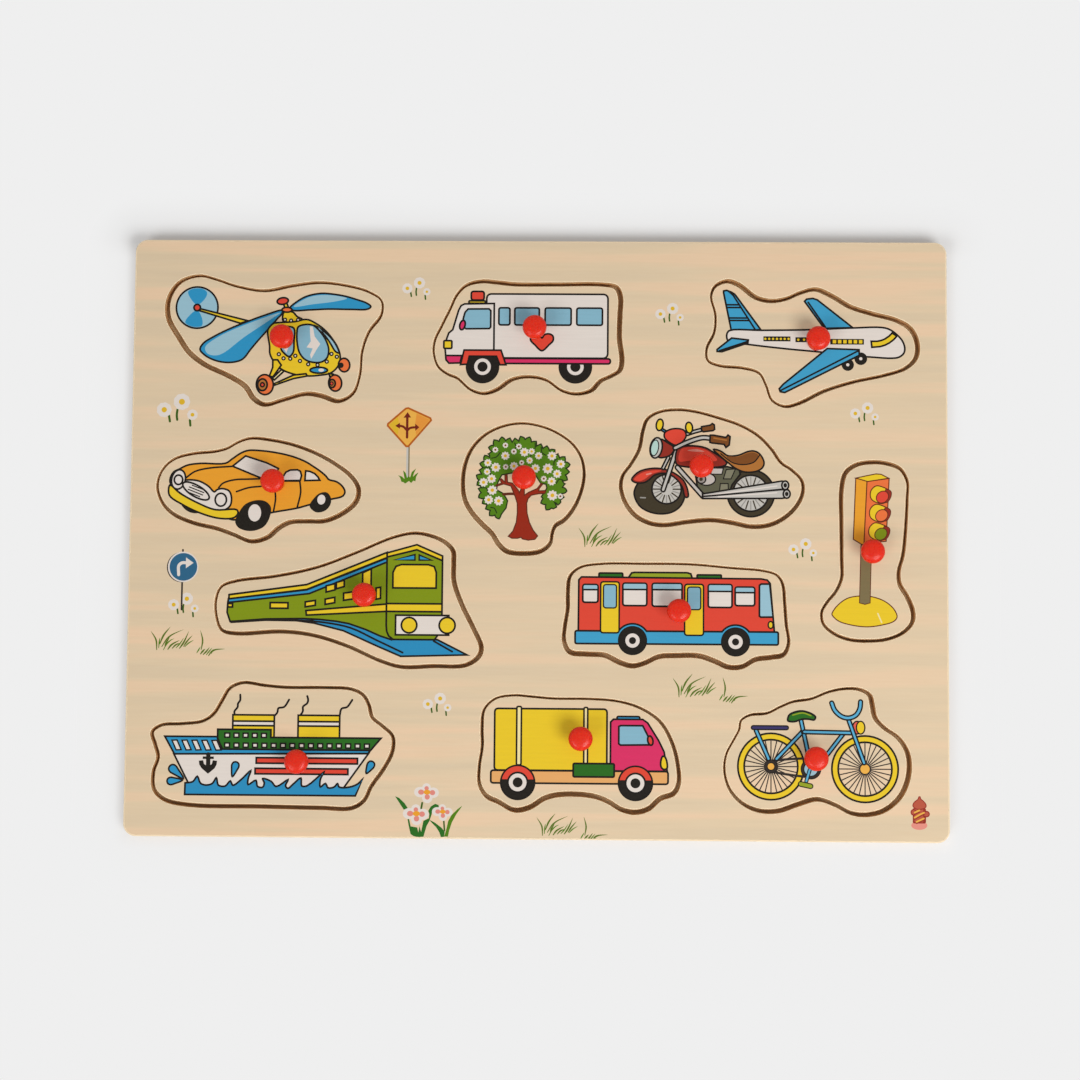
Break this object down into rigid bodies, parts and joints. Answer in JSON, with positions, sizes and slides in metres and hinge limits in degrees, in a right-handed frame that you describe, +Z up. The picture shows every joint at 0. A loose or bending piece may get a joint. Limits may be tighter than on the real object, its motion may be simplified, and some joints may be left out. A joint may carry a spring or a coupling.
{
  "type": "peg puzzle",
  "caption": "Flat wooden peg puzzle: a printed tray board with shaped recesses, and lift-out picture pieces of vehicles, each with a red plastic peg to hold it by.",
  "frame": {"origin": "centre of the backing board's underside, on the surface that the board lies on", "axes": "+X across the picture to the right, +Y up the picture, +Z up out of the printed face"},
  "size_m": [0.3, 0.22, 0.0186],
  "materials": {
    "backing_wood": "bare fibreboard",
    "tray_wood": "fibreboard with browned cut edges",
    "tray_print": "satin print of pale wood grain with flowers, grass and signs",
    "piece_wood": "fibreboard with browned cut edges",
    "picture_print": "satin picture print",
    "peg_plastic": "glossy red"
  },
  "bodies": {
    "tray": {"backing_board": "backing_wood", "tray_board": "tray_wood", "tray_print": "tray_print"},
    "helicopter": {"helicopter_piece": "piece_wood", "helicopter_print": "picture_print", "helicopter_peg": "peg_plastic"},
    "ambulance": {"ambulance_piece": "piece_wood", "ambulance_print": "picture_print", "ambulance_peg": "peg_plastic"},
    "plane": {"plane_piece": "piece_wood", "plane_print": "picture_print", "plane_peg": "peg_plastic"},
    "car": {"car_piece": "piece_wood", "car_print": "picture_print", "car_peg": "peg_plastic"},
    "tree": {"tree_piece": "piece_wood", "tree_print": "picture_print", "tree_peg": "peg_plastic"},
    "motorcycle": {"motorcycle_piece": "piece_wood", "motorcycle_print": "picture_print", "motorcycle_peg": "peg_plastic"},
    "traffic_light": {"traffic_light_piece": "piece_wood", "traffic_light_print": "picture_print", "traffic_light_peg": "peg_plastic"},
    "train": {"train_piece": "piece_wood", "train_print": "picture_print", "train_peg": "peg_plastic"},
    "bus": {"bus_piece": "piece_wood", "bus_print": "picture_print", "bus_peg": "peg_plastic"},
    "ship": {"ship_piece": "piece_wood", "ship_print": "picture_print", "ship_peg": "peg_plastic"},
    "truck": {"truck_piece": "piece_wood", "truck_print": "picture_print", "truck_peg": "peg_plastic"},
    "bicycle": {"bicycle_piece": "piece_wood", "bicycle_print": "picture_print", "bicycle_peg": "peg_plastic"}
  },
  "joints": [
    {"name": "helicopter_lift", "type": "slide", "parent": "tray", "child": "helicopter", "axis": [0, 0, 1], "range_m": [0, 0.06]},
    {"name": "ambulance_lift", "type": "slide", "parent": "tray", "child": "ambulance", "axis": [0, 0, 1], "range_m": [0, 0.06]},
    {"name": "plane_lift", "type": "slide", "parent": "tray", "child": "plane", "axis": [0, 0, 1], "range_m": [0, 0.06]},
    {"name": "car_lift", "type": "slide", "parent": "tray", "child": "car", "axis": [0, 0, 1], "range_m": [0, 0.06]},
    {"name": "tree_lift", "type": "slide", "parent": "tray", "child": "tree", "axis": [0, 0, 1], "range_m": [0, 0.06]},
    {"name": "motorcycle_lift", "type": "slide", "parent": "tray", "child": "motorcycle", "axis": [0, 0, 1], "range_m": [0, 0.06]},
    {"name": "traffic_light_lift", "type": "slide", "parent": "tray", "child": "traffic_light", "axis": [0, 0, 1], "range_m": [0, 0.06]},
    {"name": "train_lift", "type": "slide", "parent": "tray", "child": "train", "axis": [0, 0, 1], "range_m": [0, 0.06]},
    {"name": "bus_lift", "type": "slide", "parent": "tray", "child": "bus", "axis": [0, 0, 1], "range_m": [0, 0.06]},
    {"name": "ship_lift", "type": "slide", "parent": "tray", "child": "ship", "axis": [0, 0, 1], "range_m": [0, 0.06]},
    {"name": "truck_lift", "type": "slide", "parent": "tray", "child": "truck", "axis": [0, 0, 1], "range_m": [0, 0.06]},
    {"name": "bicycle_lift", "type": "slide", "parent": "tray", "child": "bicycle", "axis": [0, 0, 1], "range_m": [0, 0.06]}
  ]
}
